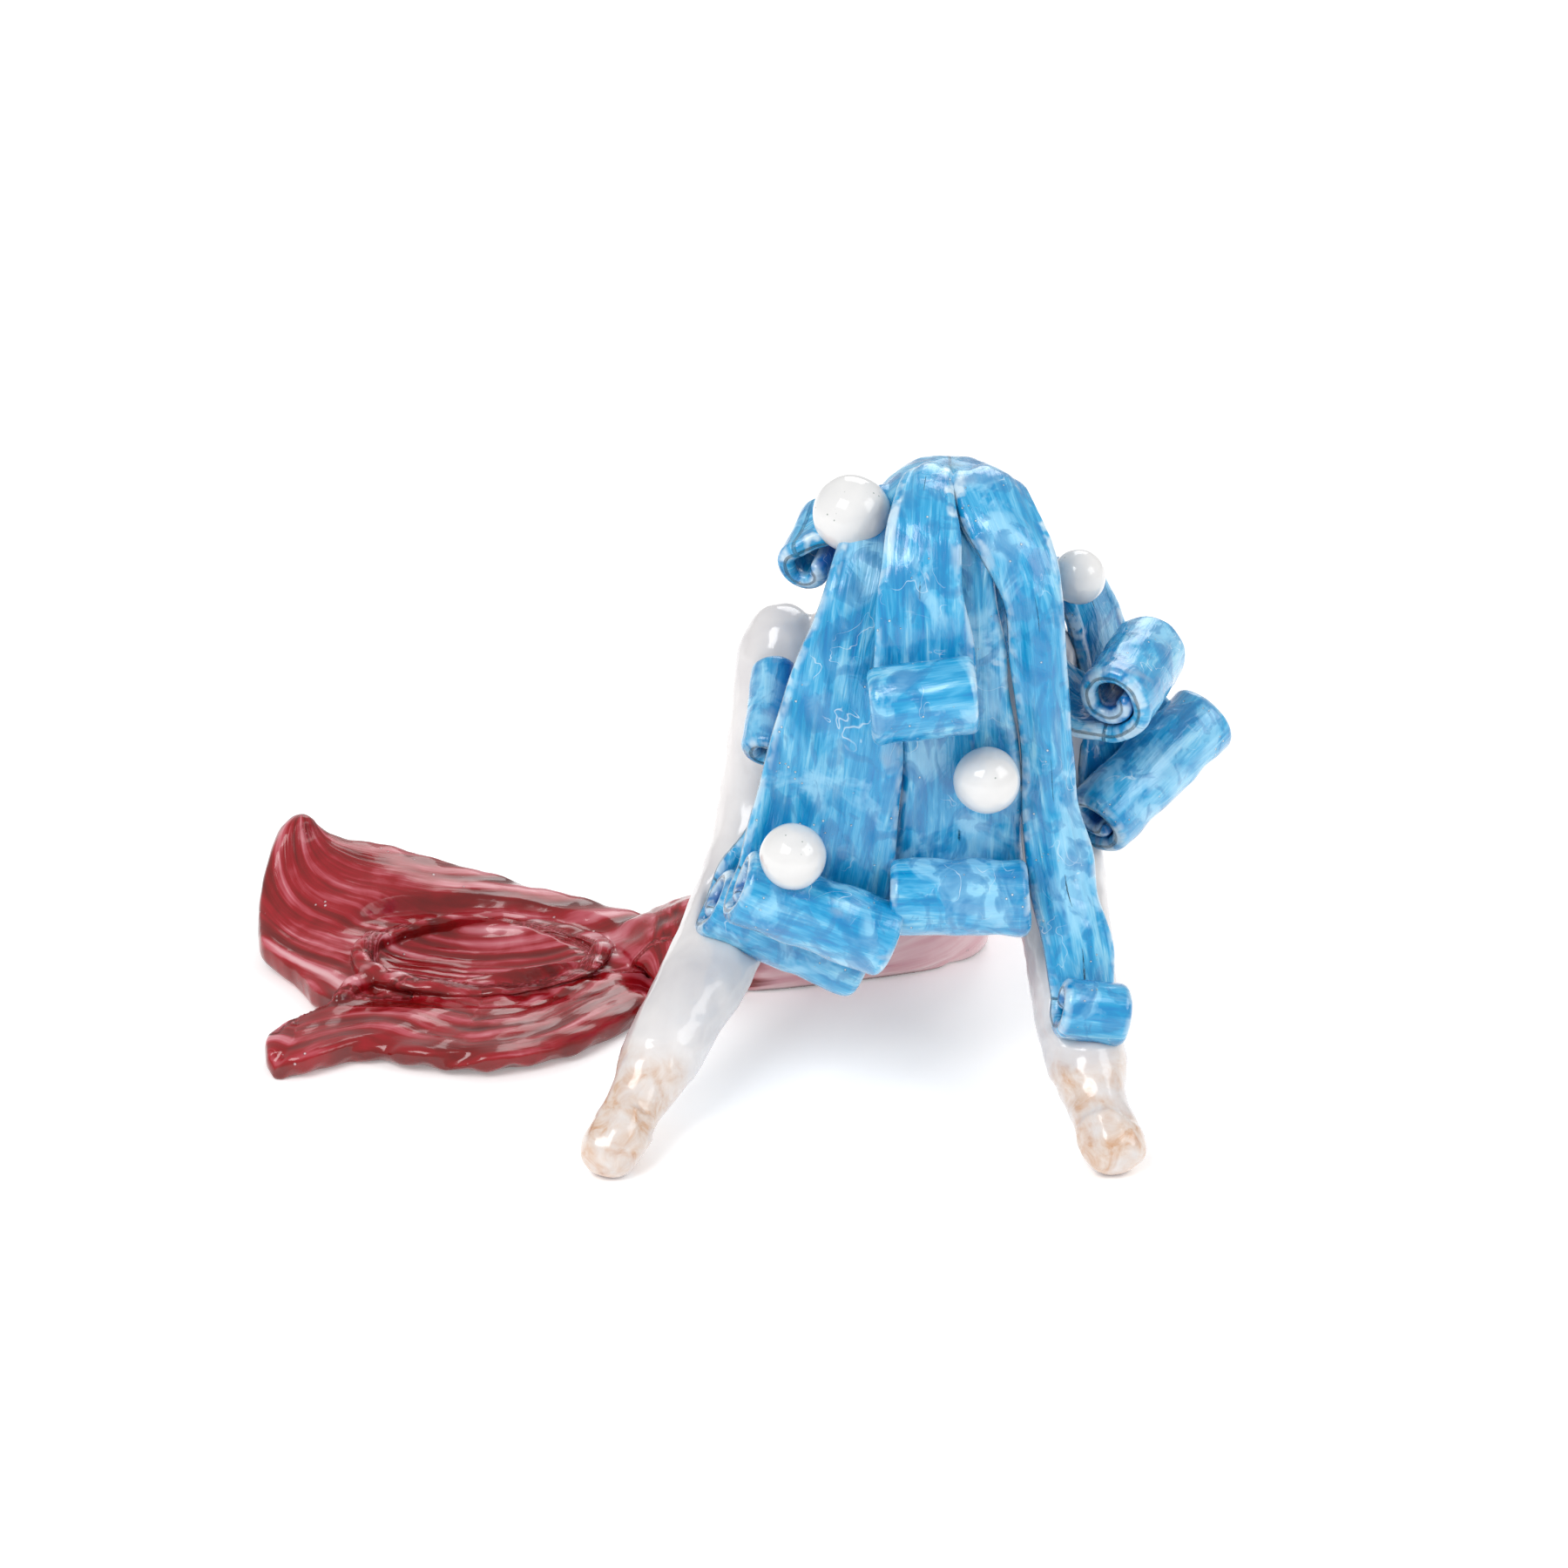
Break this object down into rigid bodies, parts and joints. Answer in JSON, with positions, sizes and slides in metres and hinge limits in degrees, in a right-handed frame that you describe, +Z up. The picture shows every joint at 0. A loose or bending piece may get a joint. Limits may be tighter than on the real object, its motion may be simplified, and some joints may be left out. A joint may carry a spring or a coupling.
{
  "type": "ceramic mermaid figurine",
  "caption": "Hand-built glazed ceramic mermaid leaning back on both arms, with rolled-curl blue hair, ball pearls and an oval trinket dish in the tail fin.",
  "frame": {"origin": "middle of the flat base of the seat, on the surface the figure sits on", "axes": "+X towards the figure's right hand as seen from behind, +Y towards the figure's front, +Z up; the tail fin lies towards -X and the hands towards -Y"},
  "size_m": [0.2977, 0.1776, 0.1836],
  "materials": {
    "hair_glaze": "glossy brushed blue glaze",
    "white_glaze": "glossy white glaze",
    "bare_hand_glaze": "thin satin glaze over beige clay",
    "pink_glaze": "glossy thin pink glaze",
    "crimson_glaze": "glossy brushed crimson glaze",
    "pearl_glaze": "glossy bright white glaze"
  },
  "bodies": {
    "root": {"torso": "white_glaze", "neck": "white_glaze", "head": "white_glaze", "arm_left": "white_glaze", "arm_right": "white_glaze", "hand_left": "bare_hand_glaze", "hand_right": "bare_hand_glaze", "tail_hips": "pink_glaze", "tail_ankle": "crimson_glaze", "fluke_front_lobe": "crimson_glaze", "fluke_back_lobe": "crimson_glaze", "fluke_spine": "crimson_glaze", "dish_rim": "crimson_glaze", "hair_cap": "hair_glaze", "lock_centre": "hair_glaze", "lock_left": "hair_glaze", "lock_left_under": "hair_glaze", "lock_middle": "hair_glaze", "lock_right": "hair_glaze", "lock_front_left": "hair_glaze", "lock_front_right": "hair_glaze", "curl_left_temple": "hair_glaze", "curl_left_side": "hair_glaze", "curl_right_upper": "hair_glaze", "curl_right_lower": "hair_glaze", "pearl_crown": "pearl_glaze", "pearl_temple": "pearl_glaze", "pearl_left_lock": "pearl_glaze", "pearl_middle_lock": "pearl_glaze"}
  },
  "joints": []
}
